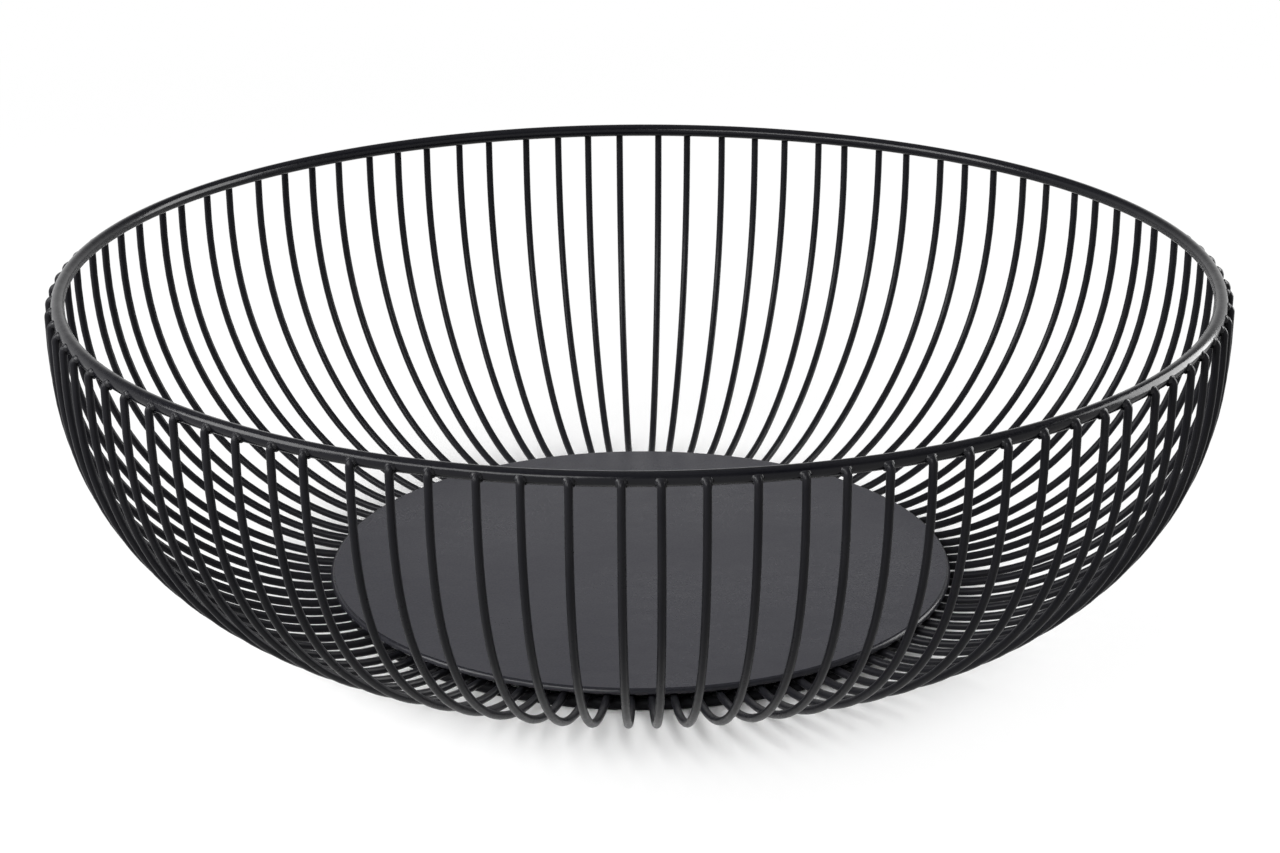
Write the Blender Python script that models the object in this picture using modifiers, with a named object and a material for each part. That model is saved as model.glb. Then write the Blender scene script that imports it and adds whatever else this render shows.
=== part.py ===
"""A welded wire fruit bowl: rim ring, bent rib wires, round base plate and foot ring.

Lengths are metres, +Z is up, and the origin is where the bowl's axis meets the surface it stands on.
Every rib wire is a long hairpin: it leaves the rim, runs down the bowl's curved side, goes in under
the plate, turns back and climbs to the rim again, so one wire makes two neighbouring ribs.
"""
import math

import bmesh
import bpy
from mathutils import Vector

# Driving dimensions
RIM_DIAMETER = 0.294
RIM_WIRE = 0.0035
RIB_WIRE = 0.002
RIB_WIRES = 47
PLATE_DIAMETER = 0.164
PLATE_THICKNESS = 0.0015
PLATE_EDGE_BEVEL = 0.0004
PLATE_BELOW_RIM = 0.0793
FOOT_WIRE = 0.003

# How far inside the plate's edge the foot ring's centre line and the wires' U-turns lie
FOOT_INSET = 0.004
TURN_INSET = 0.01

# How a rib wire is bent, and how far above the rim wire's centre its stub is aimed
TOP_BEND_RADIUS = 0.0022
STUB_RISE = 0.0004
SIDE_POWER = 2.5
FLOOR_POWER = 1.75

# Room left for a weld between two pieces that touch
WELD_GAP = 0.0003

# How finely round forms are divided
RING_STEPS = 60
WIRE_SIDES = 8
RIB_SIDES = 6
BEND_STEPS = 2
SIDE_STEPS = 7
TURN_STEPS = 3
MERGE_DISTANCE = 0.00001

# Heights and radii that follow from the sizes above
LEAN = math.radians(45)
HALF_PITCH = math.pi / (2 * RIB_WIRES)
RIM_RADIUS = RIM_DIAMETER / 2
RIB_RADIUS = RIB_WIRE / 2
PLATE_RADIUS = PLATE_DIAMETER / 2
FOOT_RADIUS = PLATE_RADIUS - FOOT_INSET
TURN_RADIUS = PLATE_RADIUS - TURN_INSET
RUN_HEIGHT = FOOT_WIRE + WELD_GAP + RIB_RADIUS
PLATE_UNDERSIDE = RUN_HEIGHT + RIB_RADIUS + WELD_GAP
PLATE_TOP = PLATE_UNDERSIDE + PLATE_THICKNESS
RIM_HEIGHT = PLATE_TOP + PLATE_BELOW_RIM


def clear_scene():
    """Remove what the file holds, so that the bowl is built in an empty scene."""
    for item in list(bpy.data.objects):
        bpy.data.objects.remove(item, do_unlink=True)


def new_collection(name):
    """Return a new collection, linked to the scene."""
    collection = bpy.data.collections.new(name)
    bpy.context.scene.collection.children.link(collection)
    return collection


def coated_steel(name, colour, roughness):
    """Return a powder-coated steel material."""
    material = bpy.data.materials.new(name)
    material.use_nodes = True
    shader = material.node_tree.nodes["Principled BSDF"]
    shader.inputs["Base Color"].default_value = (*colour, 1.0)
    shader.inputs["Roughness"].default_value = roughness
    shader.inputs["Metallic"].default_value = 0.0
    return material


def wire_section(radius, height, wire, sides):
    """Return the points of a wire's section with a flat below, its outer side running down."""
    reach = wire / 2 / math.cos(math.pi / sides)
    points = []
    for index in range(sides):
        angle = -2 * math.pi * (index + 0.5) / sides
        points.append((radius + reach * math.cos(angle), 0.0, height + reach * math.sin(angle)))
    return points


def turned_ring(name, radius, height, wire, material, collection):
    """Turn a wire's section round the bowl's axis into a closed ring."""
    mesh = bpy.data.meshes.new(name)
    points = wire_section(radius, height, wire, WIRE_SIDES)
    edges = [(index, (index + 1) % WIRE_SIDES) for index in range(WIRE_SIDES)]
    mesh.from_pydata(points, edges, [])
    mesh.materials.append(material)
    ring = bpy.data.objects.new(name, mesh)
    collection.objects.link(ring)
    screw = ring.modifiers.new("turn", "SCREW")
    screw.axis = "Z"
    screw.angle = 2 * math.pi
    screw.steps = RING_STEPS
    screw.render_steps = RING_STEPS
    screw.use_merge_vertices = True
    screw.merge_threshold = MERGE_DISTANCE
    screw.use_smooth_shade = True
    return ring


def base_plate(material, collection):
    """Make the round sheet plate, its edge broken by a small bevel."""
    mesh = bpy.data.meshes.new("base_plate")
    shape = bmesh.new()
    bmesh.ops.create_cone(
        shape,
        cap_ends=True,
        segments=RING_STEPS,
        radius1=PLATE_RADIUS,
        radius2=PLATE_RADIUS,
        depth=PLATE_THICKNESS,
    )
    shape.to_mesh(mesh)
    shape.free()
    mesh.shade_smooth()
    mesh.set_sharp_from_angle(angle=math.radians(30))
    mesh.materials.append(material)
    plate = bpy.data.objects.new("base_plate", mesh)
    plate.location.z = PLATE_UNDERSIDE + PLATE_THICKNESS / 2
    collection.objects.link(plate)
    bevel = plate.modifiers.new("edge", "BEVEL")
    bevel.width = PLATE_EDGE_BEVEL
    bevel.segments = 1
    bevel.limit_method = "ANGLE"
    return plate


def rib_profile():
    """Return a rib's centre line as radius and height, from its end at the rim in to the U-turn."""
    along_stub = Vector((math.cos(LEAN), -math.sin(LEAN)))
    across_stub = Vector((math.sin(LEAN), math.cos(LEAN)))
    rim_centre = Vector((RIM_RADIUS, RIM_HEIGHT))
    end = rim_centre + (RIM_WIRE / 2 + WELD_GAP) * along_stub + STUB_RISE * across_stub
    bend_centre = end - TOP_BEND_RADIUS * across_stub
    points = []
    for step in range(BEND_STEPS + 1):
        angle = LEAN + (math.pi / 2 - LEAN) * step / BEND_STEPS
        points.append(bend_centre + TOP_BEND_RADIUS * Vector((math.sin(angle), math.cos(angle))))
    side_top = points[-1]
    floor_radius = PLATE_RADIUS + RIB_RADIUS
    for step in range(1, SIDE_STEPS + 1):
        angle = math.pi / 2 * step / SIDE_STEPS
        across = max(math.cos(angle), 0.0) ** (2 / FLOOR_POWER)
        down = math.sin(angle) ** (2 / SIDE_POWER)
        radius = floor_radius + (side_top.x - floor_radius) * across
        height = side_top.y + (RUN_HEIGHT - side_top.y) * down
        points.append(Vector((radius, height)))
    points.append(Vector((TURN_RADIUS, RUN_HEIGHT)))
    return points


def hairpin_points():
    """Return the centre line of one rib wire: down one leg, round the U-turn and up the other."""
    profile = rib_profile()
    leg = []
    for point in profile:
        leg.append(Vector((point.x * math.cos(HALF_PITCH), point.x * math.sin(HALF_PITCH), point.y)))
    turn_distance = profile[-1].x / math.cos(HALF_PITCH)
    turn_radius = turn_distance * math.sin(HALF_PITCH)
    turn = []
    for step in range(1, TURN_STEPS):
        angle = math.pi / 2 + HALF_PITCH + (math.pi - 2 * HALF_PITCH) * step / TURN_STEPS
        along = turn_distance + turn_radius * math.cos(angle)
        turn.append(Vector((along, turn_radius * math.sin(angle), RUN_HEIGHT)))
    other_leg = [Vector((point.x, -point.y, point.z)) for point in reversed(leg)]
    return leg + turn + other_leg


def hairpin_curve(material):
    """Return the curve that every rib wire shares."""
    points = hairpin_points()
    curve = bpy.data.curves.new("rib_wire", "CURVE")
    curve.dimensions = "3D"
    curve.bevel_depth = RIB_RADIUS / math.cos(math.pi / RIB_SIDES)
    curve.bevel_resolution = (RIB_SIDES - 4) // 2
    curve.use_fill_caps = True
    curve.resolution_u = 1
    curve.render_resolution_u = 0
    spline = curve.splines.new("POLY")
    spline.points.add(len(points) - 1)
    for target, point in zip(spline.points, points):
        target.co = (point.x, point.y, point.z, 1.0)
    spline.use_smooth = True
    curve.materials.append(material)
    return curve


def rib_wires(material, collection):
    """Set the rib wires round the bowl at an even pitch."""
    curve = hairpin_curve(material)
    for index in range(RIB_WIRES):
        wire = bpy.data.objects.new(f"rib_wire_{index + 1:02d}", curve)
        wire.rotation_euler.z = (4 * index + 1) * HALF_PITCH
        collection.objects.link(wire)


def build():
    """Build the bowl."""
    clear_scene()
    bowl = new_collection("wire_fruit_bowl")
    rim_coat = coated_steel("rim_coat", (0.032, 0.032, 0.035), 0.38)
    rib_coat = coated_steel("rib_coat", (0.015, 0.015, 0.017), 0.45)
    plate_coat = coated_steel("plate_coat", (0.07, 0.07, 0.077), 0.55)
    foot_coat = coated_steel("foot_coat", (0.015, 0.015, 0.017), 0.45)
    turned_ring("rim_ring", RIM_RADIUS, RIM_HEIGHT, RIM_WIRE, rim_coat, bowl)
    turned_ring("foot_ring", FOOT_RADIUS, FOOT_WIRE / 2, FOOT_WIRE, foot_coat, bowl)
    base_plate(plate_coat, bowl)
    rib_wires(rib_coat, bowl)


build()
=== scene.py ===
"""The looks of a welded wire fruit bowl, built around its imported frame.

Lengths are metres and angles radians unless a name says otherwise. The bowl stands on z = 0, its
axis is +Z, and -Y faces the camera. Every size that the frame gives is read from the frame.
"""

import logging
import math
from dataclasses import dataclass, field
from enum import Enum

import bpy
from mathutils import Matrix, Vector

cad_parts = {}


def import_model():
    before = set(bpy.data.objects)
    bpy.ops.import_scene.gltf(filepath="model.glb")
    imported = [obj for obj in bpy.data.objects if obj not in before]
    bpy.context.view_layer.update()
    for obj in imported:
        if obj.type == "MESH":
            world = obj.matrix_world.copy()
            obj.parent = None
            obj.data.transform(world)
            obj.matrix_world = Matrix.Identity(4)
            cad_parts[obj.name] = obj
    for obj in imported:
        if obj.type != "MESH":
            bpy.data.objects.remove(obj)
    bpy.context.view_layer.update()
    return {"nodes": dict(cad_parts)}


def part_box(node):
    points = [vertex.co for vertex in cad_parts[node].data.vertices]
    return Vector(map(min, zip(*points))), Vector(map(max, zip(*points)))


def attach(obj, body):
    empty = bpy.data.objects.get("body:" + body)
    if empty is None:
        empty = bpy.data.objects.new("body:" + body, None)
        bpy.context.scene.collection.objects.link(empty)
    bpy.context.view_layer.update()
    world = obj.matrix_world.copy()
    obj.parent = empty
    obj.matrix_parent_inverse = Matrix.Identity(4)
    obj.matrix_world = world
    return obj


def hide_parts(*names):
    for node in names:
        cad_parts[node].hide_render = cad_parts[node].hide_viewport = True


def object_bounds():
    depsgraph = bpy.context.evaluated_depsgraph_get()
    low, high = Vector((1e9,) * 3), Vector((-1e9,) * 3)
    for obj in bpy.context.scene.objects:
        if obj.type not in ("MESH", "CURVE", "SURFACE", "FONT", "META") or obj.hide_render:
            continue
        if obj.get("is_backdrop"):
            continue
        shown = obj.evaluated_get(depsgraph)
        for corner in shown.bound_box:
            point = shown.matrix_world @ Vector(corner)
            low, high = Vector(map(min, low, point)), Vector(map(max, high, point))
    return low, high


LOG = logging.getLogger("fruit_bowl")
MILLIMETRE = 0.001
SHARP_ANGLE = math.radians(60)
BODY = "root"
RIB_NODE_START = "rib_wire_"
RIBS_PER_WIRE = 2
UP = Vector((0.0, 0.0, 1.0))
RIM_JOINT_ANGLE = math.radians(108)
FOOT_JOINT_ANGLE = math.radians(60)
FOOT_STEPS = 200
FOOT_SIDES = 20
UNIT = (0.0, 1.0)
# A Mix node's two inputs and its output, by the data type that it mixes.
MIX_SOCKETS = {"FLOAT": (2, 3, 0), "RGBA": (6, 7, 2)}

Socket = bpy.types.NodeSocket
Colour = tuple[float, float, float]
Span = tuple[float, float]
# Width and place of each ring of a turned form, as shares of the wire that it sits on.
Shares = tuple[tuple[float, float], ...]
# Radius and height of each point or ring of a turned form.
Rings = list[tuple[float, float]]


class Coat(Enum):
    """The record's slots, one for each sort of coated steel on the bowl."""

    RIM = "rim_coat"
    RIB = "rib_coat"
    PLATE = "plate_coat"
    FOOT = "foot_coat"


class WearAndHighlightAlong(Enum):
    """What sets where the edge band of wear and painted highlight lies."""

    HEIGHT = "height"
    RADIUS = "radius"


class Tree:
    """A node tree, and short ways to add to it."""

    def __init__(self, group: bpy.types.NodeTree) -> None:
        """Take up a tree.

        Args:
            group: The tree.
        """
        self.group = group

    def add(self, kind: str, **settings: object) -> bpy.types.Node:
        """Add a node.

        Args:
            kind: The node's type.
            settings: Its properties.

        Returns:
            The node.
        """
        node = self.group.nodes.new(kind)
        for key, value in settings.items():
            setattr(node, key, value)
        return node

    def join(self, start: Socket, end: Socket) -> None:
        """Link two sockets.

        Args:
            start: The output.
            end: The input.
        """
        self.group.links.new(start, end)

    def feed(self, target: Socket, value: object) -> None:
        """Set an input, or link it.

        Args:
            target: The input.
            value: A plain value to set, or a socket to link.
        """
        if isinstance(value, Socket):
            self.join(value, target)
        else:
            target.default_value = value

    def maths(self, operation: str, *values: object) -> Socket:
        """Add a Math node.

        Args:
            operation: What it does.
            values: Its inputs, each a number or a socket.

        Returns:
            Its result.
        """
        node = self.add("ShaderNodeMath", operation=operation)
        for target, value in zip(node.inputs, values):
            self.feed(target, value)
        return node.outputs[0]

    def span(self, value: Socket, given: tuple, wanted: Span, kind: str = "LINEAR") -> Socket:
        """Add a step that brings a value from one range to another.

        Args:
            value: The value.
            given: The ends of the range it comes in, each a number or a socket.
            wanted: The range it leaves in.
            kind: How it runs between the ends, LINEAR or SMOOTHSTEP.

        Returns:
            The changed value.
        """
        step = self.add("ShaderNodeMapRange", interpolation_type=kind)
        for name, limit in zip(("From Min", "From Max", "To Min", "To Max"), (*given, *wanted)):
            self.feed(step.inputs[name], limit)
        self.join(value, step.inputs["Value"])
        return step.outputs["Result"]

    def mix(self, kind: str, share: Socket, first: object, second: object) -> Socket:
        """Add a Mix node.

        Args:
            kind: The data type that it mixes, FLOAT or RGBA.
            share: How much of the second there is in the mix.
            first: The first level or colour, or its socket.
            second: The second one, or its socket.

        Returns:
            The mix.
        """
        low, high, result = MIX_SOCKETS[kind]
        node = self.add("ShaderNodeMix", data_type=kind)
        self.join(share, node.inputs[0])
        self.feed(node.inputs[low], first)
        self.feed(node.inputs[high], second)
        return node.outputs[result]

    def length(self, vector: Socket) -> Socket:
        """Add the length of a vector.

        Args:
            vector: The vector.

        Returns:
            Its length.
        """
        node = self.add("ShaderNodeVectorMath", operation="LENGTH")
        self.join(vector, node.inputs[0])
        return node.outputs["Value"]

    def axes(self, vector: Socket) -> bpy.types.NodeOutputs:
        """Add the parts of a vector.

        Args:
            vector: The vector.

        Returns:
            Its parts, as the sockets X, Y and Z.
        """
        node = self.add("ShaderNodeSeparateXYZ")
        self.join(vector, node.inputs["Vector"])
        return node.outputs


class GeometryTree(Tree):
    """A Geometry Nodes tree with named inputs."""

    def __init__(self, name: str) -> None:
        """Start a tree with a geometry input and output.

        Args:
            name: The tree's name.
        """
        super().__init__(bpy.data.node_groups.new(name, "GeometryNodeTree"))
        for way in ("INPUT", "OUTPUT"):
            self.group.interface.new_socket(
                name="Geometry", in_out=way, socket_type="NodeSocketGeometry"
            )
        self.source = self.add("NodeGroupInput")
        self.result = self.add("NodeGroupOutput")

    def take(self, kind: str, *names: str) -> None:
        """Add named inputs of one kind.

        Args:
            kind: Their socket type.
            names: Their names.
        """
        for name in names:
            self.group.interface.new_socket(name=name, in_out="INPUT", socket_type=kind)

    def chance(self, key: Socket, seed: Socket) -> Socket:
        """Add a random value between -1 and 1 for each key.

        Args:
            key: The whole number that it depends on.
            seed: The seed.

        Returns:
            The value.
        """
        node = self.add("FunctionNodeRandomValue", data_type="FLOAT")
        node.inputs[2].default_value = -1.0
        node.inputs[3].default_value = 1.0
        self.join(key, node.inputs["ID"])
        self.join(seed, node.inputs["Seed"])
        return node.outputs[1]

    def apply(self, piece: bpy.types.Object, values: dict[str, object]) -> None:
        """Put the tree on a piece as a modifier, and set its inputs by their identifiers.

        Args:
            piece: The piece.
            values: The inputs' values by name.
        """
        modifier = piece.modifiers.new(self.group.name, "NODES")
        modifier.node_group = self.group
        for item in self.group.interface.items_tree:
            if item.in_out == "INPUT" and item.name in values:
                modifier[item.identifier] = values[item.name]


@dataclass(frozen=True)
class PowderCoat:
    """A powder-coated steel finish.

    The coat has a fine orange-peel grain over a longer ripple. Its tone drifts a little from place
    to place. In soft patches, where hands and cloths have rubbed it, the tone is lighter and the
    gloss higher. The same goes for the edge band that wear_and_highlight_along and
    wear_and_highlight_range
    give: on the rim, plate and foot it is wear, and on the ribs' and welds' stubs under the rim its
    lighter tone is a painted highlight.
    """

    slot: Coat
    colour: Colour
    wear_and_highlight_colour: Colour
    roughness: float
    rubbed_roughness: float
    specular: float
    grain_size: float
    grain_depth: float
    ripple_size: float
    ripple_depth: float
    mottle_size: float
    wear_and_highlight_along: WearAndHighlightAlong
    wear_and_highlight_range: Span
    mottle_detail: float = 4.0
    grain_detail: float = 3.0
    ripple_detail: float = 1.0
    patch_range: Span = (0.35, 0.75)
    speckle_range: Span = (0.3, 0.7)
    speckle_share: float = 0.06
    breakup_range: Span = (0.35, 0.6)
    breakup_levels: Span = (0.5, 1.0)

    def material(self) -> bpy.types.Material:
        """Build the node material.

        Returns:
            The material, named after the finish's slot.
        """
        material = bpy.data.materials.new(f"{self.slot.value}_finish")
        material.use_nodes = True
        tree = Tree(material.node_tree)
        shader = tree.group.nodes["Principled BSDF"]
        shader.inputs["Specular IOR Level"].default_value = self.specular
        place = tree.add("ShaderNodeTexCoord").outputs["Object"]
        mottle = self._noise(tree, place, self.mottle_size, self.mottle_detail)
        grain = self._noise(tree, place, self.grain_size, self.grain_detail)
        ripple = self._noise(tree, place, self.ripple_size, self.ripple_detail)
        patches = tree.span(mottle, self.patch_range, UNIT)
        # Patches and the edge band lighten the tone: wear, and on the ribs' and welds' stubs a
        # painted highlight.
        wear_and_highlight = tree.maths("MAXIMUM", patches, self._edge_wear_and_highlight(tree, place, grain))
        tone = tree.mix("RGBA", wear_and_highlight, (*self.colour, 1.0), (*self.wear_and_highlight_colour, 1.0))
        tree.join(tone, shader.inputs["Base Color"])
        gloss = tree.span(wear_and_highlight, UNIT, (self.roughness, self.rubbed_roughness))
        speckle = tree.span(grain, self.speckle_range, (-self.speckle_share, self.speckle_share))
        tree.join(tree.maths("ADD", gloss, speckle), shader.inputs["Roughness"])
        ripple_bump = self._bump(tree, ripple, self.ripple_depth)
        grain_bump = self._bump(tree, grain, self.grain_depth)
        tree.join(ripple_bump.outputs["Normal"], grain_bump.inputs["Normal"])
        tree.join(grain_bump.outputs["Normal"], shader.inputs["Normal"])
        return material

    def _edge_wear_and_highlight(self, tree: Tree, place: Socket, grain: Socket) -> Socket:
        """Add the mask of the edge band, broken up by the grain: wear on the rim, plate and foot,
        and painted highlight on the ribs' and welds' stubs.

        Args:
            tree: The material's tree.
            place: The coordinates that it reads.
            grain: The grain's level.

        Returns:
            How much the tone is lightened and the gloss raised, from 0 to 1.
        """
        parts = tree.axes(place)
        level = parts["Z"]
        if self.wear_and_highlight_along is WearAndHighlightAlong.RADIUS:
            flat = tree.add("ShaderNodeCombineXYZ")
            tree.join(parts["X"], flat.inputs["X"])
            tree.join(parts["Y"], flat.inputs["Y"])
            level = tree.length(flat.outputs["Vector"])
        edge_wear_and_highlight_mask = tree.span(level, self.wear_and_highlight_range, UNIT)
        breakup = tree.span(grain, self.breakup_range, self.breakup_levels)
        return tree.maths("MULTIPLY", edge_wear_and_highlight_mask, breakup)

    @staticmethod
    def _noise(tree: Tree, place: Socket, size: float, detail: float) -> Socket:
        """Add a noise whose features are about as wide as size.

        Args:
            tree: The material's tree.
            place: The coordinates that it reads.
            size: The width of a feature.
            detail: How many finer layers it has.

        Returns:
            The noise's level, from 0 to 1.
        """
        noise = tree.add("ShaderNodeTexNoise")
        noise.inputs["Scale"].default_value = 1 / size
        noise.inputs["Detail"].default_value = detail
        tree.join(place, noise.inputs["Vector"])
        return noise.outputs["Fac"]

    @staticmethod
    def _bump(tree: Tree, height: Socket, depth: float) -> bpy.types.Node:
        """Add a bump of the given depth.

        Args:
            tree: The material's tree.
            height: The level that gives the height.
            depth: The bump's height.

        Returns:
            The bump node.
        """
        bump = tree.add("ShaderNodeBump")
        bump.inputs["Distance"].default_value = depth
        tree.join(height, bump.inputs["Height"])
        return bump


# The rim, ribs, plate and foot are one powder coat, but their base colours differ as painted light
# and shade: the flat plate's is lighter for the light from above, the rim's and ribs' darker for
# the shade on their upright faces, and the foot's darker for the shade under the plate.
RIM_FINISH = PowderCoat(
    slot=Coat.RIM,
    colour=(0.005, 0.005, 0.007),
    wear_and_highlight_colour=(0.010, 0.010, 0.012),
    roughness=0.21,
    rubbed_roughness=0.15,
    specular=0.16,
    grain_size=0.7 * MILLIMETRE,
    grain_depth=0.012 * MILLIMETRE,
    ripple_size=5 * MILLIMETRE,
    ripple_depth=0.06 * MILLIMETRE,
    mottle_size=26 * MILLIMETRE,
    wear_and_highlight_along=WearAndHighlightAlong.HEIGHT,
    wear_and_highlight_range=(87.4 * MILLIMETRE, 88.1 * MILLIMETRE),
)
# Darker than the plate: painted shade on the upright ribs.
RIB_FINISH = PowderCoat(
    slot=Coat.RIB,
    colour=(0.008, 0.008, 0.010),
    wear_and_highlight_colour=(0.013, 0.013, 0.015),
    roughness=0.38,
    rubbed_roughness=0.27,
    specular=0.08,
    grain_size=0.7 * MILLIMETRE,
    grain_depth=0.012 * MILLIMETRE,
    ripple_size=4 * MILLIMETRE,
    ripple_depth=0.05 * MILLIMETRE,
    mottle_size=18 * MILLIMETRE,
    wear_and_highlight_along=WearAndHighlightAlong.HEIGHT,
    # Along the stubs under the rim this band's lighter colour is a painted highlight, with the
    # roughness lowered too.
    wear_and_highlight_range=(83.5 * MILLIMETRE, 86.5 * MILLIMETRE),
)
# Lighter than the rest of the coat: painted light from above on the flat plate.
PLATE_FINISH = PowderCoat(
    slot=Coat.PLATE,
    colour=(0.018, 0.018, 0.025),
    wear_and_highlight_colour=(0.023, 0.023, 0.030),
    roughness=0.36,
    rubbed_roughness=0.28,
    specular=0.48,
    grain_size=0.6 * MILLIMETRE,
    grain_depth=0.020 * MILLIMETRE,
    ripple_size=7 * MILLIMETRE,
    ripple_depth=0.06 * MILLIMETRE,
    mottle_size=45 * MILLIMETRE,
    wear_and_highlight_along=WearAndHighlightAlong.RADIUS,
    wear_and_highlight_range=(80.9 * MILLIMETRE, 81.4 * MILLIMETRE),
)
# The plate's coat again, in a darker colour that is painted shade on the plate's rolled edge, and
# smoother, with a lower specular level.
EDGE_SHADE_FINISH = PowderCoat(
    slot=Coat.PLATE,
    colour=(0.014, 0.014, 0.018),
    wear_and_highlight_colour=(0.018, 0.018, 0.022),
    roughness=0.26,
    rubbed_roughness=0.19,
    specular=0.2,
    grain_size=0.6 * MILLIMETRE,
    grain_depth=0.012 * MILLIMETRE,
    ripple_size=7 * MILLIMETRE,
    ripple_depth=0.04 * MILLIMETRE,
    mottle_size=20 * MILLIMETRE,
    wear_and_highlight_along=WearAndHighlightAlong.RADIUS,
    wear_and_highlight_range=(81.0 * MILLIMETRE, 81.5 * MILLIMETRE),
)
WELD_FINISH = PowderCoat(
    slot=Coat.RIB,
    colour=(0.010, 0.010, 0.012),
    wear_and_highlight_colour=(0.016, 0.016, 0.018),
    roughness=0.34,
    rubbed_roughness=0.26,
    specular=0.14,
    grain_size=0.7 * MILLIMETRE,
    grain_depth=0.02 * MILLIMETRE,
    ripple_size=1.5 * MILLIMETRE,
    ripple_depth=0.08 * MILLIMETRE,
    mottle_size=9 * MILLIMETRE,
    wear_and_highlight_along=WearAndHighlightAlong.HEIGHT,
    # Along the fillets and webs under the rim this band's lighter colour is a painted highlight,
    # with the roughness lowered too.
    wear_and_highlight_range=(83.5 * MILLIMETRE, 86.5 * MILLIMETRE),
)
# Darker than the plate: painted shade on the foot ring under the plate.
FOOT_FINISH = PowderCoat(
    slot=Coat.FOOT,
    colour=(0.006, 0.006, 0.007),
    wear_and_highlight_colour=(0.012, 0.012, 0.014),
    roughness=0.5,
    rubbed_roughness=0.42,
    specular=0.06,
    grain_size=0.7 * MILLIMETRE,
    grain_depth=0.012 * MILLIMETRE,
    ripple_size=4 * MILLIMETRE,
    ripple_depth=0.05 * MILLIMETRE,
    mottle_size=18 * MILLIMETRE,
    wear_and_highlight_along=WearAndHighlightAlong.HEIGHT,
    wear_and_highlight_range=(1.2 * MILLIMETRE, 0.2 * MILLIMETRE),
)


@dataclass(frozen=True)
class BowlSizes:
    """The sizes that the frame's nodes give, which every piece here is built to."""

    reach: float
    rim_radius: float
    rim_height: float
    rim_wire: float
    foot_radius: float
    foot_wire: float
    plate_radius: float
    plate_bottom: float
    plate_top: float
    rib_nodes: tuple[str, ...]

    @classmethod
    def from_frame(cls, nodes: dict[str, bpy.types.Object]) -> "BowlSizes":
        """Read the sizes from the frame.

        Args:
            nodes: The frame's nodes by name.

        Returns:
            The bowl's sizes.
        """
        bowl_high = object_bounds()[1]
        rim_low, rim_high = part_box("rim_ring")
        foot_low, foot_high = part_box("foot_ring")
        plate_low, plate_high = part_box("base_plate")
        rim_wire = rim_high.z - rim_low.z
        foot_wire = foot_high.z - foot_low.z
        return cls(
            reach=min(bowl_high.x, bowl_high.y),
            rim_radius=rim_high.x - rim_wire / 2,
            rim_height=(rim_low.z + rim_high.z) / 2,
            rim_wire=rim_wire,
            foot_radius=foot_high.x - foot_wire / 2,
            foot_wire=foot_wire,
            plate_radius=plate_high.x,
            plate_bottom=plate_low.z,
            plate_top=plate_high.z,
            rib_nodes=tuple(sorted(name for name in nodes if name.startswith(RIB_NODE_START))),
        )


def link_mesh(
    name: str,
    verts: list[Vector],
    edges: list[tuple[int, int]],
    faces: list[tuple[int, ...]],
) -> bpy.types.Object:
    """Make a mesh object and link it to the scene.

    Args:
        name: The object's name.
        verts: The vertices' places.
        edges: The loose edges, as pairs of vertices.
        faces: The faces, as loops of vertices.

    Returns:
        The new object.
    """
    mesh = bpy.data.meshes.new(name)
    mesh.from_pydata([tuple(vertex) for vertex in verts], edges, faces)
    mesh.validate()
    piece = bpy.data.objects.new(name, mesh)
    bpy.context.scene.collection.objects.link(piece)
    return piece


def link_ring(name: str, sections: list[list[Vector]]) -> bpy.types.Object:
    """Join closed sections, each to the next and the last to the first, to a ring.

    Args:
        name: The ring's name.
        sections: The points of each section, as many in each.

    Returns:
        The new object.
    """
    verts = [vertex for section in sections for vertex in section]
    count = len(sections[0])
    faces = []
    for step in range(len(sections)):
        here = step * count
        there = (step + 1) % len(sections) * count
        for row in range(count):
            after = (row + 1) % count
            faces.append((here + row, here + after, there + after, there + row))
    return link_mesh(name, verts, [], faces)


def seat(piece: bpy.types.Object, nodes: tuple[str, ...]) -> bpy.types.Object:
    """Shade a finished and coated piece smooth, put it on the bowl's body, and hide the frame's
    nodes that it stands for.

    Args:
        piece: The finished piece.
        nodes: The frame's nodes that it stands for.

    Returns:
        The same piece.
    """
    piece.data.shade_smooth()
    piece.data.set_sharp_from_angle(angle=SHARP_ANGLE)
    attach(piece, BODY)
    if nodes:
        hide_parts(*nodes)
    return piece


def dress(
    piece: bpy.types.Object, finish: PowderCoat, nodes: tuple[str, ...]
) -> bpy.types.Object:
    """Coat a finished piece and seat it.

    Args:
        piece: The finished piece.
        finish: Its finish.
        nodes: The frame's nodes that it stands for.

    Returns:
        The same piece.
    """
    piece.data.materials.append(finish.material())
    return seat(piece, nodes)


@dataclass
class WireRing:
    """A round wire bent to a ring, its ends butt welded and ground flush on top."""

    name: str
    node: str
    radius: float
    height: float
    wire: float
    joint_angle: float
    steps: int = 320
    sides: int = 24
    joint_swell: float = 0.12 * MILLIMETRE
    joint_width: float = 1.4 * MILLIMETRE
    waver: float = 0.12 * MILLIMETRE
    waver_count: int = 5

    def build(self, finish: PowderCoat) -> bpy.types.Object:
        """Build and dress the ring.

        Args:
            finish: The ring's finish.

        Returns:
            The ring.
        """
        sections = [self._section(math.tau * step / self.steps) for step in range(self.steps)]
        return dress(link_ring(self.name, sections), finish, (self.node,))

    def _section(self, angle: float) -> list[Vector]:
        """Give the wire's section at one angle, its outer side running down.

        Args:
            angle: The angle round the bowl's axis.

        Returns:
            The section's points.
        """
        turn = math.remainder(angle - self.joint_angle, math.tau)
        swell = self.joint_swell * math.exp(-((turn * self.radius / self.joint_width) ** 2))
        inset = self.waver / 2 * (1 - math.cos(self.waver_count * turn))
        points = []
        for side in range(self.sides):
            around = -math.tau * side / self.sides
            below = max(0.0, -math.sin(around))
            half = self.wire / 2 + swell * below * (1 - below)
            along = self.radius - inset + half * math.cos(around)
            height = self.height + half * math.sin(around)
            points.append(Vector((along * math.cos(angle), along * math.sin(angle), height)))
        return points


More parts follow.
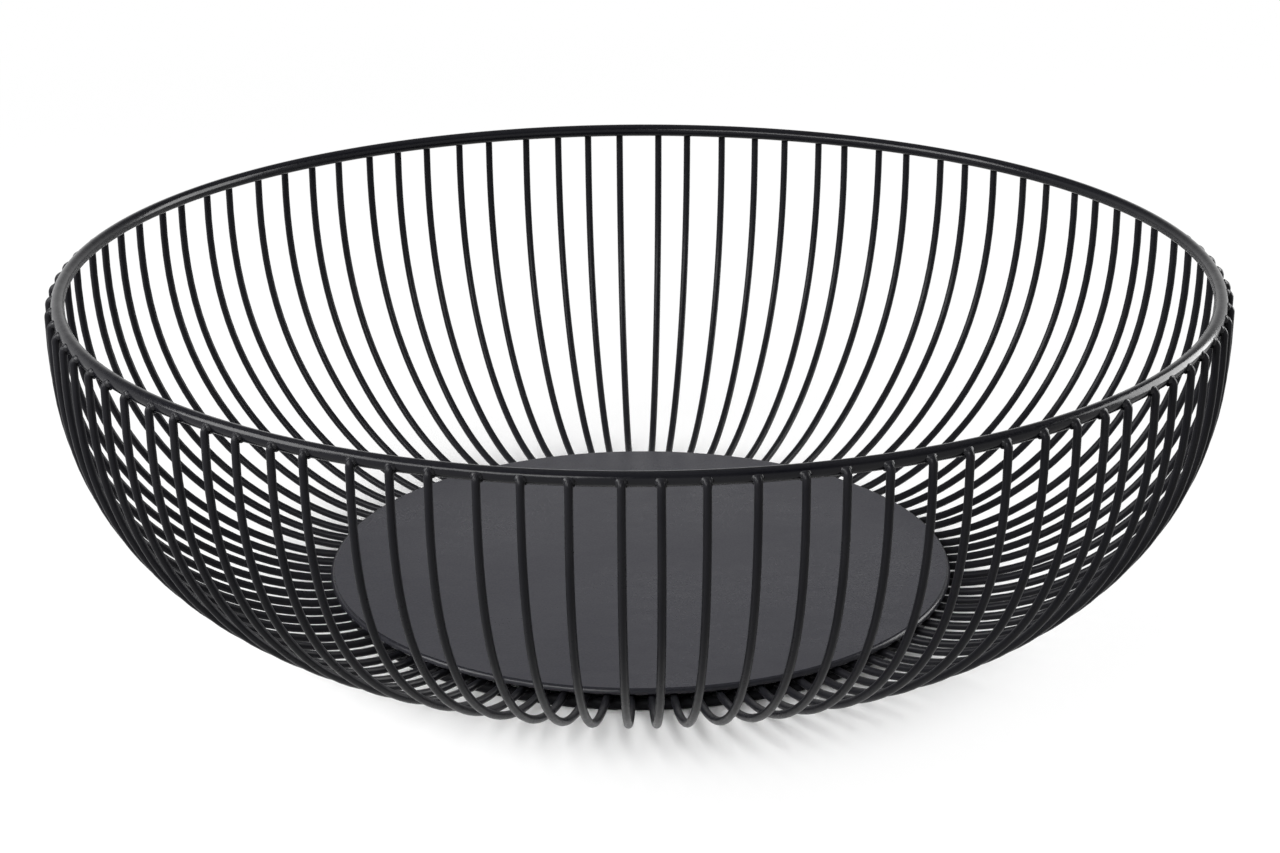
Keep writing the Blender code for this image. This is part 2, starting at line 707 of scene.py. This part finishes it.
@dataclass
class BasePlate:
    """The flat round plate and its edge, rolled over a shoulder into a slanted flank and a hem."""

    radius: float
    bottom: float
    top: float
    shoulder: float = 0.9 * MILLIMETRE
    hem: float = 0.4 * MILLIMETRE
    flank_tilt: float = math.radians(25)
    arc_steps: int = 6
    steps: int = 240
    face_shares: tuple[float, ...] = (0.0, 0.25, 0.5, 0.75, 0.9, 0.99, 1.0)

    def build(self, finish: PowderCoat, edge_shade_finish: PowderCoat) -> list[bpy.types.Object]:
        """Build and dress the plate and its edge.

        Args:
            finish: The plate's finish.
            edge_shade_finish: The finish of its edge: the plate's coat, smoother and with a lower
                specular level, in a darker colour that is painted shade on the edge.

        Returns:
            The plate and its edge.
        """
        hem_centre = (self.radius - self.hem, self.bottom + self.hem)
        hem = self._arc(hem_centre, self.hem, self.flank_tilt, -math.pi / 2)
        drop = self.top - self.shoulder * (1 - math.sin(self.flank_tilt)) - hem[0][1]
        flank_top = hem[0][0] - drop * math.tan(self.flank_tilt)
        flat = flank_top - self.shoulder * math.cos(self.flank_tilt)
        shoulder_centre = (flat, self.top - self.shoulder)
        shoulder = self._arc(shoulder_centre, self.shoulder, math.pi / 2, self.flank_tilt)
        upper = [(flat * share, self.top) for share in self.face_shares]
        lower = [(flat * share, self.bottom) for share in reversed(self.face_shares)]
        plate = self._disc("plate", upper + lower)
        outline = shoulder + hem + [(flat, self.bottom)]
        sections = [self._section(outline, step) for step in range(self.steps)]
        edge = link_ring("plate_edge", sections)
        return [dress(plate, finish, ("base_plate",)), dress(edge, edge_shade_finish, ())]

    def _arc(
        self, centre: tuple[float, float], radius: float, start: float, end: float
    ) -> Rings:
        """Give the points of an arc, from one angle above the level to another.

        Args:
            centre: The arc's centre, as radius and height.
            radius: The arc's own radius.
            start: The first point's angle.
            end: The last point's angle.

        Returns:
            Radius and height of each point.
        """
        points = []
        for step in range(self.arc_steps + 1):
            angle = start + (end - start) * step / self.arc_steps
            out, up = radius * math.cos(angle), radius * math.sin(angle)
            points.append((centre[0] + out, centre[1] + up))
        return points

    def _section(self, profile: Rings, step: int) -> list[Vector]:
        """Give a profile's points at one step round the axis.

        Args:
            profile: Radius and height of its points.
            step: The step.

        Returns:
            The points.
        """
        angle = math.tau * step / self.steps
        cos, sin = math.cos(angle), math.sin(angle)
        return [Vector((radius * cos, radius * sin, height)) for radius, height in profile]

    def _disc(self, name: str, profile: Rings) -> bpy.types.Object:
        """Turn a profile, with one vertex where it starts and one where it ends on the axis.

        Args:
            name: The disc's name.
            profile: Radius and height from the top's centre, over the edge, to the bottom's centre.

        Returns:
            The turned disc.
        """
        rings = profile[1:-1]
        verts = [Vector((0.0, 0.0, profile[0][1])), Vector((0.0, 0.0, profile[-1][1]))]
        first = len(verts)
        count = len(rings)
        faces = []
        for step in range(self.steps):
            verts.extend(self._section(rings, step))
            here = first + step * count
            there = first + (step + 1) % self.steps * count
            faces.append((0, here, there))
            for row in range(count - 1):
                faces.append((here + row, here + row + 1, there + row + 1, there + row))
            faces.append((here + count - 1, 1, there + count - 1))
        return link_mesh(name, verts, [], faces)


def sweep_tree() -> GeometryTree:
    """Build the tree that gives a line of edges the section of a round wire.

    Returns:
        The tree, whose inputs are Wire Radius and Sides.
    """
    tree = GeometryTree("wire_sweep")
    tree.take("NodeSocketFloat", "Wire Radius")
    tree.take("NodeSocketInt", "Sides")
    line = tree.add("GeometryNodeMeshToCurve")
    section = tree.add("GeometryNodeCurvePrimitiveCircle", mode="RADIUS")
    sweep = tree.add("GeometryNodeCurveToMesh")
    sweep.inputs["Fill Caps"].default_value = True
    tree.join(tree.source.outputs["Geometry"], line.inputs["Mesh"])
    tree.join(tree.source.outputs["Wire Radius"], section.inputs["Radius"])
    tree.join(tree.source.outputs["Sides"], section.inputs["Resolution"])
    tree.join(line.outputs["Curve"], sweep.inputs["Curve"])
    tree.join(section.outputs["Curve"], sweep.inputs["Profile Curve"])
    tree.join(sweep.outputs["Mesh"], tree.result.inputs["Geometry"])
    return tree


def fan_tree() -> GeometryTree:
    """Build the tree that repeats a rib wire round the axis, nearly as evenly as a jig would.

    Outside the plate each rib stands a little off its even place, and leans a little sideways
    towards the rim. What lies inside the Still Radius keeps its place.

    Returns:
        The tree, whose inputs are Count, Seed, First Turn, Shake, Lean, Still Radius, Free Radius,
        Rim Height and Material.
    """
    tree = GeometryTree("rib_fan")
    tree.take("NodeSocketInt", "Count", "Seed")
    tree.take("NodeSocketFloat", "First Turn", "Shake", "Lean")
    tree.take("NodeSocketFloat", "Still Radius", "Free Radius", "Rim Height")
    tree.take("NodeSocketMaterial", "Material")
    given = tree.source.outputs
    points = tree.add("GeometryNodeMeshLine")
    points.inputs["Offset"].default_value = (0.0, 0.0, 0.0)
    tree.join(given["Count"], points.inputs["Count"])
    index = tree.add("GeometryNodeInputIndex").outputs["Index"]
    spin = tree.add("ShaderNodeCombineXYZ")
    even = tree.maths("MULTIPLY", tree.maths("DIVIDE", index, given["Count"]), math.tau)
    tree.join(tree.maths("ADD", even, given["First Turn"]), spin.inputs["Z"])
    copies = tree.add("GeometryNodeInstanceOnPoints")
    tree.join(points.outputs["Mesh"], copies.inputs["Points"])
    tree.join(given["Geometry"], copies.inputs["Instance"])
    tree.join(spin.outputs["Vector"], copies.inputs["Rotation"])
    real = tree.add("GeometryNodeRealizeInstances")
    tree.join(copies.outputs["Instances"], real.inputs["Geometry"])

    place = tree.add("GeometryNodeInputPosition").outputs["Position"]
    parts = tree.axes(place)
    azimuth = tree.maths("ARCTAN2", parts["Y"], parts["X"])
    pitch = tree.maths("DIVIDE", math.tau / RIBS_PER_WIRE, given["Count"])
    # Two whole turns are added, so that the angle is never below zero.
    from_first = tree.maths("ADD", azimuth, 2 * math.tau)
    from_first = tree.maths("SUBTRACT", from_first, given["First Turn"])
    rib = tree.maths("FLOOR", tree.maths("DIVIDE", from_first, pitch))
    rib_count = tree.maths("MULTIPLY", given["Count"], RIBS_PER_WIRE)
    rib = tree.maths("FLOORED_MODULO", rib, rib_count)
    squares = [tree.maths("POWER", parts[axis], 2.0) for axis in ("X", "Y")]
    reach = tree.maths("SQRT", tree.maths("ADD", *squares))
    still_to_free = (given["Still Radius"], given["Free Radius"])
    freedom = tree.span(reach, still_to_free, UNIT, "SMOOTHSTEP")
    climb = tree.maths("DIVIDE", parts["Z"], given["Rim Height"])
    shake = tree.maths("MULTIPLY", tree.chance(rib, given["Seed"]), given["Shake"])
    next_seed = tree.maths("ADD", given["Seed"], 1.0)
    lean = tree.maths("MULTIPLY", tree.chance(rib, next_seed), given["Lean"])
    drift = tree.maths("ADD", shake, tree.maths("MULTIPLY", lean, climb))
    drift = tree.maths("MULTIPLY", drift, freedom)
    moved = tree.add("ShaderNodeVectorRotate", rotation_type="Z_AXIS")
    tree.join(place, moved.inputs["Vector"])
    tree.join(drift, moved.inputs["Angle"])
    move = tree.add("GeometryNodeSetPosition")
    tree.join(real.outputs["Geometry"], move.inputs["Geometry"])
    tree.join(moved.outputs["Vector"], move.inputs["Position"])

    coat = tree.add("GeometryNodeSetMaterial")
    tree.join(move.outputs["Geometry"], coat.inputs["Geometry"])
    tree.join(given["Material"], coat.inputs["Material"])
    tree.join(coat.outputs["Geometry"], tree.result.inputs["Geometry"])
    return tree


@dataclass
class RibFan:
    """The bent rib wires and their welds.

    One wire is a long hairpin: down the side from the rim, in under the plate, round a U-turn
    and back.
    """

    sizes: BowlSizes
    wire: float = 2.0 * MILLIMETRE
    weld_gap: float = 0.3 * MILLIMETRE
    weld_sink: float = 0.5 * MILLIMETRE
    bend_radius: float = 1.5 * MILLIMETRE
    stub_rise: float = 0.6 * MILLIMETRE
    lean: float = math.radians(30)
    side_power: float = 2.5
    floor_power: float = 1.75
    turn_inset: float = 10 * MILLIMETRE
    bend_steps: int = 6
    side_steps: int = 28
    turn_steps: int = 10
    sides: int = 12
    shake: float = math.radians(0.4)
    top_lean: float = math.radians(0.2)
    seed: int = 7
    bead_sides: int = 10
    fillet_shares: Shares = (
        (1.5, -0.35), (1.46, -0.1), (1.25, 0.04), (1.08, 0.16), (0.9, 0.24)
    )
    fillet_flatness: float = 0.68
    crotch_angle: float = math.radians(50)
    crotch_shares: Shares = (
        (0.07, -0.62), (0.2, -0.4), (0.26, 0.0), (0.2, 0.4), (0.07, 0.62)
    )
    bead_shares: Shares = ((0.34, -0.29), (0.56, -0.12), (0.56, 0.12), (0.34, 0.29))
    half_pitch: float = field(init=False)
    run_height: float = field(init=False)
    rim_centre: Vector = field(init=False)

    def __post_init__(self) -> None:
        """Work out what follows from the sizes."""
        self.half_pitch = math.pi / (RIBS_PER_WIRE * len(self.sizes.rib_nodes))
        self.run_height = self.sizes.foot_wire + self.weld_gap + self.wire / 2
        self.rim_centre = Vector((self.sizes.rim_radius, self.sizes.rim_height))

    def build(
        self, rib_finish: PowderCoat, weld_finish: PowderCoat
    ) -> list[bpy.types.Object]:
        """Build and dress the ribs and their welds.

        Args:
            rib_finish: The ribs' finish.
            weld_finish: The finish over the welds, where the coat lies thicker and smoother.

        Returns:
            The ribs and the welds.
        """
        path = self._hairpin()
        edges = [(index, index + 1) for index in range(len(path) - 1)]
        ribs = link_mesh("ribs", path, edges, [])
        welds = self._weld_set()
        sweep_tree().apply(ribs, {"Wire Radius": self.wire / 2, "Sides": self.sides})
        fan = fan_tree()
        for piece, finish in ((ribs, rib_finish), (welds, weld_finish)):
            fan.apply(piece, {
                "Material": finish.material(),
                "Count": len(self.sizes.rib_nodes),
                "Seed": self.seed,
                "First Turn": self.half_pitch,
                "Shake": self.shake,
                "Lean": self.top_lean,
                "Still Radius": self.sizes.plate_radius - self.turn_inset,
                "Free Radius": self.sizes.plate_radius + self.turn_inset,
                "Rim Height": self.sizes.rim_height,
            })
            settle(piece)
        return [
            seat(ribs, self.sizes.rib_nodes),
            seat(welds, ()),
        ]

    def _stub_start(self, sink: float) -> Vector:
        """Give the place on the stub's centre line that lies this deep in the rim wire.

        Args:
            sink: How deep the place lies below the rim wire's surface.

        Returns:
            Its radius and height.
        """
        outward = (self.sizes.rim_wire / 2 - sink) * self._along()
        return self.rim_centre + outward + self.stub_rise * self._across()

    def _along(self) -> Vector:
        """Give the stub's direction, out and down from the rim.

        Returns:
            Its parts along radius and height.
        """
        return Vector((math.cos(self.lean), -math.sin(self.lean)))

    def _across(self) -> Vector:
        """Give the direction square to the stub, up and out.

        Returns:
            Its parts along radius and height.
        """
        return Vector((math.sin(self.lean), math.cos(self.lean)))

    def _profile(self) -> list[Vector]:
        """Give one leg's centre line.

        Returns:
            Radius and height of each point, from the leg's end in the rim to the U-turn.
        """
        side_radius = self.sizes.reach - self.wire / 2
        centre_out = side_radius - self.bend_radius - self.sizes.rim_radius
        rise = self.stub_rise - self.bend_radius - centre_out * math.sin(self.lean)
        centre_up = rise / math.cos(self.lean)
        centre = Vector((side_radius - self.bend_radius, self.sizes.rim_height + centre_up))
        points = [self._stub_start(self.weld_sink)]
        for step in range(self.bend_steps + 1):
            angle = self.lean + (math.pi / 2 - self.lean) * step / self.bend_steps
            points.append(centre + self.bend_radius * Vector((math.sin(angle), math.cos(angle))))
        top = points[-1]
        floor_radius = self.sizes.plate_radius + self.wire / 2
        for step in range(1, self.side_steps + 1):
            angle = math.pi / 2 * step / self.side_steps
            across = max(math.cos(angle), 0.0) ** (2 / self.floor_power)
            down = math.sin(angle) ** (2 / self.side_power)
            points.append(Vector((
                floor_radius + (top.x - floor_radius) * across,
                top.y + (self.run_height - top.y) * down,
            )))
        points.append(Vector((self.sizes.plate_radius - self.turn_inset, self.run_height)))
        return points

    def _hairpin(self) -> list[Vector]:
        """Give the whole wire's centre line.

        Returns:
            Its points down one leg, round the U-turn and up the other leg.
        """
        cos, sin = math.cos(self.half_pitch), math.sin(self.half_pitch)
        profile = self._profile()
        leg = [Vector((point.x * cos, point.x * sin, point.y)) for point in profile]
        distance = profile[-1].x / cos
        radius = distance * sin
        turn = []
        for step in range(1, self.turn_steps):
            swept = (math.pi - 2 * self.half_pitch) * step / self.turn_steps
            angle = math.pi / 2 + self.half_pitch + swept
            along = distance + radius * math.cos(angle)
            turn.append(Vector((along, radius * math.sin(angle), self.run_height)))
        return leg + turn + [Vector((point.x, -point.y, point.z)) for point in reversed(leg)]

    def _weld_set(self) -> bpy.types.Object:
        """Build one wire's welds.

        Each leg has a fillet round its stub on the rim, a web in the crotch below it, and a bead
        on the foot ring and on the plate.

        Returns:
            The welds as one mesh.
        """
        verts: list[Vector] = []
        faces: list[tuple[int, ...]] = []
        contact = self._stub_start(0.0)
        along = self._along()
        flat = self.fillet_flatness * Vector((along.y, 0.0, -along.x))
        stub = (flat, Vector((0.0, 1.0, 0.0)), Vector((along.x, 0.0, along.y)))
        level = (Vector((1.0, 0.0, 0.0)), Vector((0.0, 1.0, 0.0)), UP)
        sideways = (UP, Vector((1.0, 0.0, 0.0)), Vector((0.0, 1.0, 0.0)))
        below = Vector((math.cos(self.crotch_angle), -math.sin(self.crotch_angle)))
        crotch = self.rim_centre + self.sizes.rim_wire / 2 * below
        web = self._scaled(self.crotch_shares, self.wire)
        fillet = self._scaled(self.fillet_shares, self.wire / 2)
        bead = self._scaled(self.bead_shares, self.wire)
        reach = self.wire / 2 + self.weld_gap / 2
        for side in (1, -1):
            turn = Matrix.Rotation(side * self.half_pitch, 3, "Z")
            self._add_turned(verts, faces, turn, contact, stub, fillet)
            self._add_turned(verts, faces, turn, crotch, sideways, web)
            for height in (self.run_height - reach, self.run_height + reach):
                spot = Vector((self.sizes.foot_radius, height))
                self._add_turned(verts, faces, turn, spot, level, bead)
        return link_mesh("rib_welds", verts, [], faces)

    def _scaled(self, shares: Shares, width_unit: float) -> Rings:
        """Turn a weld's shares into lengths.

        Args:
            shares: The weld's shares.
            width_unit: What its widths are shares of. Its places are shares of the wire.

        Returns:
            Radius and place along the axis of each ring.
        """
        return [(width * width_unit, place * self.wire) for width, place in shares]

    def _add_turned(
        self,
        verts: list[Vector],
        faces: list[tuple[int, ...]],
        turn: Matrix,
        spot: Vector,
        axes: tuple[Vector, Vector, Vector],
        rings: Rings,
    ) -> None:
        """Add a small closed turned form.

        Args:
            verts: The vertices so far.
            faces: The faces so far.
            turn: The leg's turn round the bowl's axis.
            spot: Radius and height of the form's centre.
            axes: Its two cross directions and its own axis.
            rings: Radius and place along the axis of each ring, from its low end up.
        """
        first = len(verts)
        count = self.bead_sides
        centre = Vector((spot.x, 0.0, spot.y))
        for radius, place in rings:
            for side in range(count):
                angle = math.tau * side / count
                cross = axes[0] * math.cos(angle) + axes[1] * math.sin(angle)
                verts.append(turn @ (centre + cross * radius + axes[2] * place))
        for row in range(len(rings) - 1):
            for side in range(count):
                after = (side + 1) % count
                low = first + row * count
                faces.append((low + side, low + after, low + count + after, low + count + side))
        top = first + (len(rings) - 1) * count
        faces.append(tuple(first + side for side in reversed(range(count))))
        faces.append(tuple(top + side for side in range(count)))


def settle(piece: bpy.types.Object) -> None:
    """Turn a piece's evaluated result into its own plain mesh, without modifiers.

    Args:
        piece: The piece with its modifiers.
    """
    graph = bpy.context.evaluated_depsgraph_get()
    mesh = bpy.data.meshes.new_from_object(piece.evaluated_get(graph))
    mesh.name = piece.name
    old = piece.data
    piece.modifiers.clear()
    piece.data = mesh
    bpy.data.meshes.remove(old)


@dataclass
class Camera:
    """The camera, placed as the photograph was taken: straight in front and a little above."""

    rim_height: float
    distance: float = 0.7630
    elevation: float = math.radians(17.114)
    look_lower: float = math.radians(2.962)
    roll: float = math.radians(0.258)
    lens_mm: float = 83.47
    sensor_mm: float = 36.0
    clip_start: float = 0.01

    def build(self) -> None:
        """Make the camera and use it."""
        data = bpy.data.cameras.new("camera")
        data.lens = self.lens_mm
        data.sensor_width = self.sensor_mm
        data.clip_start = self.clip_start
        camera = bpy.data.objects.new("camera", data)
        bpy.context.scene.collection.objects.link(camera)
        outward = Vector((0.0, -math.cos(self.elevation), math.sin(self.elevation)))
        offset = outward * self.distance
        camera.location = Vector((0.0, 0.0, self.rim_height)) + offset
        look = -offset.normalized()
        right = look.cross(UP).normalized()
        look = Matrix.Rotation(-self.look_lower, 3, right) @ look
        right = Matrix.Rotation(self.roll, 3, look) @ right
        up = right.cross(look)
        turn = Matrix((right, up, -look)).transposed()
        camera.rotation_euler = turn.to_euler()
        bpy.context.scene.camera = camera


@dataclass(frozen=True)
class Softbox:
    """One plain rectangular lamp, aimed at the bowl's middle."""

    name: str
    place: tuple[float, float, float]
    width: float
    height: float
    power: float
    target: tuple[float, float, float] = (0.0, 0.0, 0.04)

    def build(self) -> None:
        """Make the lamp."""
        data = bpy.data.lights.new(self.name, "AREA")
        data.shape = "RECTANGLE"
        data.size = self.width
        data.size_y = self.height
        data.energy = self.power
        lamp = bpy.data.objects.new(self.name, data)
        lamp.location = self.place
        aim = Vector(self.target) - Vector(self.place)
        lamp.rotation_euler = aim.to_track_quat("-Z", "Y").to_euler()
        bpy.context.scene.collection.objects.link(lamp)


@dataclass
class Studio:
    """A plain white paper floor, a white surround and soft lamps.

    Away from the bowl the floor runs out to plain white for what looks at it. The surround is white
    at the horizon and dims towards the ceiling, as a studio's does.
    """

    floor_size: float = 12.0
    paper_roughness: float = 0.9
    seen_colour: float = 0.96
    bounce_colour: float = 0.2
    near_fade: Span = (0.075, 0.125)
    far_fade: Span = (0.3, 0.7)
    near_white: float = 0.85
    fill_level: float = 0.07
    ceiling_level: float = 0.06
    ceiling_fade: Span = (0.15, 0.62)
    lamps: tuple[Softbox, ...] = (
        Softbox("left_lamp", (-0.84, -0.21, 0.6), 0.6, 0.54, 12.5),
        Softbox("front_lamp", (-0.46, -0.74, 0.6), 0.72, 0.33, 8.0),
        Softbox("top_lamp", (0.0, 0.3, 2.2), 3.4, 3.0, 7.0),
        Softbox("right_lamp", (1.05, 0.45, 0.4), 0.73, 0.82, 18.0),
    )

    def build(self) -> None:
        """Build the floor, the surround and the lamps."""
        self._floor()
        self._surround()
        for lamp in self.lamps:
            lamp.build()
        bpy.context.scene.view_settings.view_transform = "Standard"

    def _floor(self) -> None:
        """Make the floor, which runs out to plain white away from the bowl for what looks at it."""
        half = self.floor_size / 2
        ends = ((-half, -half), (half, -half), (half, half), (-half, half))
        corners = [Vector((x, y, 0.0)) for x, y in ends]
        floor = link_mesh("floor", corners, [], [(0, 1, 2, 3)])
        material = bpy.data.materials.new("floor_paper")
        material.use_nodes = True
        tree = Tree(material.node_tree)
        paper = tree.group.nodes["Principled BSDF"]
        paper.inputs["Roughness"].default_value = self.paper_roughness
        paper.inputs["Specular IOR Level"].default_value = 0.0
        seen = self._seen(tree)
        tone = tree.span(seen, UNIT, (self.bounce_colour, self.seen_colour))
        tree.join(tone, paper.inputs["Base Color"])
        away = tree.length(tree.add("ShaderNodeTexCoord").outputs["Object"])
        near = tree.span(away, self.near_fade, (0.0, self.near_white), "SMOOTHSTEP")
        far = tree.span(away, self.far_fade, (0.0, 1 - self.near_white), "SMOOTHSTEP")
        share = tree.maths("MULTIPLY", tree.maths("ADD", near, far), seen)
        white = tree.add("ShaderNodeEmission")
        blend = tree.add("ShaderNodeMixShader")
        tree.join(share, blend.inputs[0])
        tree.join(paper.outputs["BSDF"], blend.inputs[1])
        tree.join(white.outputs["Emission"], blend.inputs[2])
        tree.join(blend.outputs["Shader"], tree.group.nodes["Material Output"].inputs["Surface"])
        floor.data.materials.append(material)
        floor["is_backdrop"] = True

    def _surround(self) -> None:
        """Make the surround: white to look at, dimmer upwards in reflections, soft as a light."""
        world = bpy.data.worlds.new("surround")
        world.use_nodes = True
        bpy.context.scene.world = world
        tree = Tree(world.node_tree)
        background = tree.group.nodes["Background"]
        background.inputs["Color"].default_value = (1.0, 1.0, 1.0, 1.0)
        up = tree.axes(tree.add("ShaderNodeTexCoord").outputs["Generated"])["Z"]
        mirrored = tree.span(up, self.ceiling_fade, (1.0, self.ceiling_level), "SMOOTHSTEP")
        rays = tree.add("ShaderNodeLightPath").outputs
        glossy = tree.mix("FLOAT", rays["Is Glossy Ray"], self.fill_level, mirrored)
        straight = tree.maths("MAXIMUM", rays["Is Camera Ray"], rays["Is Transmission Ray"])
        level = tree.mix("FLOAT", straight, glossy, 1.0)
        tree.join(level, background.inputs["Strength"])

    @staticmethod
    def _seen(tree: Tree) -> Socket:
        """Give 1 for camera, glossy and transmission rays, and 0 for the rest.

        Args:
            tree: The tree that reads it.

        Returns:
            The level.
        """
        rays = tree.add("ShaderNodeLightPath").outputs
        mirrored = tree.maths("MAXIMUM", rays["Is Camera Ray"], rays["Is Glossy Ray"])
        return tree.maths("MAXIMUM", mirrored, rays["Is Transmission Ray"])


def main() -> None:
    """Build the bowl's looks around the frame, and report each piece."""
    logging.basicConfig(level=logging.INFO, format="%(message)s")
    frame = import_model()
    sizes = BowlSizes.from_frame(frame["nodes"])
    Camera(rim_height=sizes.rim_height).build()
    rim = WireRing(
        name="rim",
        node="rim_ring",
        radius=sizes.rim_radius,
        height=sizes.rim_height,
        wire=sizes.rim_wire,
        joint_angle=RIM_JOINT_ANGLE,
    )
    foot = WireRing(
        name="foot",
        node="foot_ring",
        radius=sizes.foot_radius,
        height=sizes.foot_wire / 2,
        wire=sizes.foot_wire,
        joint_angle=FOOT_JOINT_ANGLE,
        steps=FOOT_STEPS,
        sides=FOOT_SIDES,
    )
    plate = BasePlate(
        radius=sizes.plate_radius, bottom=sizes.plate_bottom, top=sizes.plate_top
    )
    pieces = [rim.build(RIM_FINISH), foot.build(FOOT_FINISH)]
    pieces += plate.build(PLATE_FINISH, EDGE_SHADE_FINISH)
    pieces += RibFan(sizes=sizes).build(RIB_FINISH, WELD_FINISH)
    for piece in pieces:
        LOG.info("%s: %d faces", piece.name, len(piece.data.polygons))
    Studio().build()


if __name__ == "__main__":
    main()
